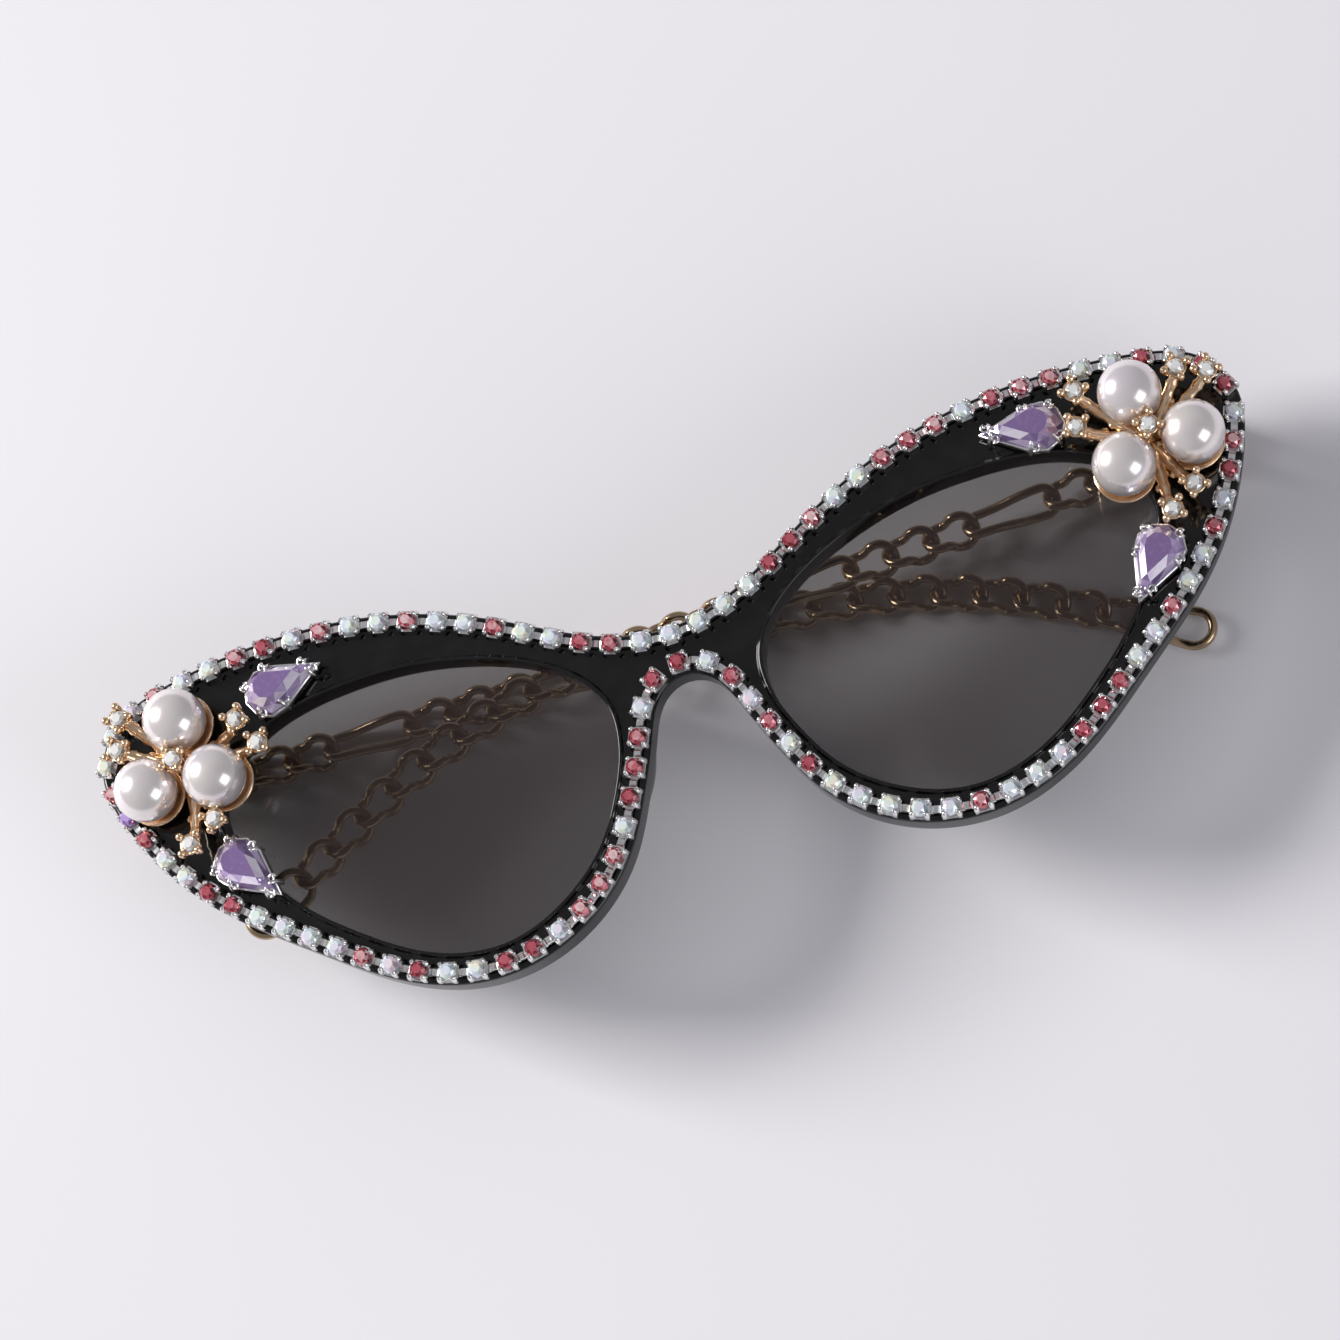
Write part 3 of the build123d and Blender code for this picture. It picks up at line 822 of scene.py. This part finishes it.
CLEAR_FOOT = 0.1 * mm
CLEAR_TOP = 1.15 * mm
BUDS = [(0.46, 0.55), (0.62, -0.6), (0.8, 0.3)]      # share of the way out, and millimetres to the side
BUD_SIZE = (0.62 * mm, 0.62 * mm, 0.5 * mm)


def twig_width(i):
    """A twig thins over its first half and stays a little knobbly."""
    return (1.30 - 0.50 * math.sin(math.pi * min(i / TWIG_STEPS, 0.5)) + 0.10 * math.sin(2.3 * i)) * mm


for side in ("left", "right"):
    middle = sum(pearl_middles[side], Vector()) / 3
    up = face_normal(middle.x)
    middle = middle - up * PEARL_RISE
    casting = bmesh.new()
    stand = standing(middle.x, Vector((1, 0, 0))).to_4x4()
    lathe(casting, PLATE_PROFILE, Matrix.Translation(middle) @ stand)
    for pearl in pearl_middles[side]:
        lathe(casting, SEAT_PROFILE, Matrix.Translation(pearl - up * PEARL_RISE) @ stand, 36)
    tips = [foot_of(part) for part in loose_parts(f"{side}_flower_stones")]
    for tip in tips:
        out = tip - middle
        flat = out - up * out.dot(up)
        start = middle + flat * 0.10 + up * 0.7 * mm
        lift = middle + flat * 0.74 + up * 1.3 * mm
        twig = bend(start, lift, tip - up * 0.95 * mm, TWIG_STEPS)
        tube(casting, twig, [twig_width(i) for i in range(len(twig))], 10)
        if flat.length > BUDDED_TWIG:
            across = up.cross(flat).normalized()
            for share, away in BUDS:
                bud = middle + flat * share + across * away * mm + up * (1.0 + 1.2 * share**2) * mm
                ball(casting, bud, BUD_SIZE, None, 6, 8)
    as_piece(casting, f"{side}_flower", gold, "gold_plate", f"{side}_flower_casting")
    places = [(tip, standing(tip.x, tip - middle + Vector((0, 0.1 * mm, 0)))) for tip in tips]
    set_copies(f"{side}_twig_cups", prong_cup(), places, gold)
    stone = chaton(CLEAR_RADIUS, CLEAR_FOOT, CLEAR_TOP)
    set_copies(f"{side}_clear_stones", stone, places, clear_glass, [f"{side}_flower_stones"])


# ---- Teardrop gems ----------------------------------------------------------------------------
# Lilac glass drops with a flat table and two rows of facets, each in a silver setting whose
# wire claws curl into little scrolls. One sits over and one beside each lens.
DROP_RADIUS = 3.0 * mm
DROP_REACH = 7.0 * mm
DROP_FOOT = 0.5 * mm
SCROLL_TURNS = 1.15
SCROLL_STEPS = 12
CLAW_WIRE = 0.27 * mm
CLAW_END = 0.2 * mm
SCROLL_WIRE = 0.17 * mm


def drop_outline(grow=0.0):
    """Ten points round a teardrop about the round end's centre, its tip on +X."""
    radius = DROP_RADIUS + grow
    reach = DROP_REACH + grow * 1.6
    flank = math.acos(DROP_RADIUS / DROP_REACH)
    corners = [Vector((reach, 0))]
    upper = Vector((math.cos(flank), math.sin(flank))) * radius
    corners.append((corners[0] + upper) / 2)
    for i in range(7):
        a = flank + (math.tau - 2 * flank) * i / 6
        corners.append(Vector((math.cos(a), math.sin(a))) * radius)
    corners.append(Vector((corners[1].x, -corners[1].y)))
    return corners


def drop_gem():
    shape = bmesh.new()
    # Each facet gets a random painted brightness, painted shade or a painted glint, which the glass's colour
    # ramp reads.
    bright = shape.faces.layers.float.new("facet")
    heart = Vector((1.1 * mm, 0))
    outline = drop_outline()
    count = len(outline)
    halfway = [(outline[i] + outline[(i + 1) % count]) / 2 for i in range(count)]

    def ring(points, scale, height):
        shrunk = [heart + (point - heart) * scale for point in points]
        return ring_of(shape, [(point.x, point.y, height) for point in shrunk])

    base = ring(outline, 1.0, DROP_FOOT)
    girdle = ring(outline, 1.0, 1.5 * mm)
    crown = ring(halfway, 0.86, 2.5 * mm)
    table = ring(outline, 0.56, 3.55 * mm)
    band(shape, base, girdle)
    for i in range(count):
        onward = (i + 1) % count
        shape.faces.new((girdle[i], girdle[onward], crown[i]))
        shape.faces.new((crown[i - 1], girdle[i], crown[i]))
        shape.faces.new((crown[i - 1], crown[i], table[i]))
        shape.faces.new((table[i], crown[i], table[onward]))
    shape.faces.new(table)
    shape.faces.new(base[::-1])
    sparkle = random.Random(11)
    for face in shape.faces:
        face[bright] = sparkle.random()
    return shape


def drop_setting():
    shape = bmesh.new()
    rings = []
    for grow, height in ((0.1, 0.0), (0.38, 0.15), (0.40, 1.0), (0.30, 1.28), (0.08, 1.3), (0.04, 0.6)):
        rings.append(ring_of(shape, [(p.x, p.y, height * mm) for p in drop_outline(grow * mm)]))
    for lower, upper in zip(rings, rings[1:]):
        band(shape, lower, upper, True)
    shape.faces.new(rings[0][::-1])
    shape.faces.new(rings[-1])
    flank = math.acos(DROP_RADIUS / DROP_REACH)
    claws = [(Vector((DROP_REACH - 0.9 * mm, side * 0.85 * mm, 0)), side * flank) for side in (1, -1)]
    for angle in (flank, -flank, math.pi - 0.8, math.pi + 0.8):
        claws.append((Vector((math.cos(angle), math.sin(angle), 0)) * DROP_RADIUS, angle))
    for foot, angle in claws:
        out = Vector((math.cos(angle), math.sin(angle), 0))
        side = Vector((-out.y, out.x, 0))
        up = Vector((0, 0, mm))
        start = foot + out * 0.40 * mm + up * 0.1
        end = foot - out * 0.75 * mm + up * 2.45
        path = bend(start, foot + out * 0.55 * mm + up * 2.1, end, 6)
        tube(shape, path, [CLAW_WIRE] * 6 + [CLAW_END], 6)
        heart = foot - out * 0.15 * mm + side * 0.55 * mm + up * 1.9
        scroll = []
        for i in range(SCROLL_STEPS + 1):
            turn = math.tau * SCROLL_TURNS * i / SCROLL_STEPS
            reach = (0.62 - 0.38 * i / SCROLL_STEPS) * mm
            scroll.append(heart + out * reach * math.cos(turn) + side * reach * math.sin(turn))
        tube(shape, scroll, [SCROLL_WIRE] * len(scroll), 6)
    bmesh.ops.recalc_face_normals(shape, faces=shape.faces)
    return shape


# Lilac facets, from painted shade through the lilac to a painted glint.
LILAC_SHADE_TO_GLINT = [
    (0.0, (0.24, 0.15, 0.36)), (0.25, (0.46, 0.34, 0.62)), (0.5, (0.68, 0.55, 0.82)),
    (0.75, (0.90, 0.82, 0.97)), (1.0, (1.0, 0.98, 1.0)),
]
lilac = finish_of("lilac_glass", jewel_paint(LILAC_SHADE_TO_GLINT, metal=0.3))
for side in ("left", "right"):
    for level in ("upper", "lower"):
        gem = f"{side}_{level}_drop_gem"
        points = [p for part in loose_parts(gem) for p in part]
        middle = middle_of(points)
        average = sum(points, Vector()) / len(points)
        tip = max(points, key=lambda p: (p - average).length)
        up = face_normal(middle.x)
        low = min(p.dot(up) for p in points)
        flat_tip = tip + up * (low - tip.dot(up))
        flat_middle = middle + up * (low - middle.dot(up))
        way = (flat_tip - flat_middle).normalized()
        heart = flat_tip - way * DROP_REACH - up * DROP_FOOT
        where = Matrix.Translation(heart) @ standing(middle.x, way).to_4x4()
        stone = drop_gem()
        bmesh.ops.transform(stone, matrix=where, verts=stone.verts)
        as_piece(stone, f"{side}_{level}_drop", lilac, "lilac_glass", gem)
        setting = drop_setting()
        bmesh.ops.transform(setting, matrix=where, verts=setting.verts)
        as_piece(setting, f"{side}_{level}_claws", silver, "silver_plate", f"{side}_{level}_drop_setting")


# ---- Hinges and chain temples -----------------------------------------------------------------
# Oval links of round brass wire, each twisted a third of a turn and soldered to the next, so the
# chain is stiff and keeps its ear bend. The root's knuckle turns between two ears on a screw.
def brass_paint(shade):
    wear = grain(shade, 420, 3)
    colour = ramp(shade, wear, (0.3, (0.36, 0.26, 0.165)), (0.7, (0.54, 0.40, 0.26)))
    return {"Base Color": colour, "Metallic": 1.0, "Roughness": 0.13 + wear * 0.14}


pale_brass = finish_of("pale_brass", brass_paint)
for node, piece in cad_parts.items():
    if any(word in node for word in ("hinge", "temple_root", "links", "long_link", "end_loop")):
        piece.data.materials.clear()
        piece.data.materials.append(pale_brass)
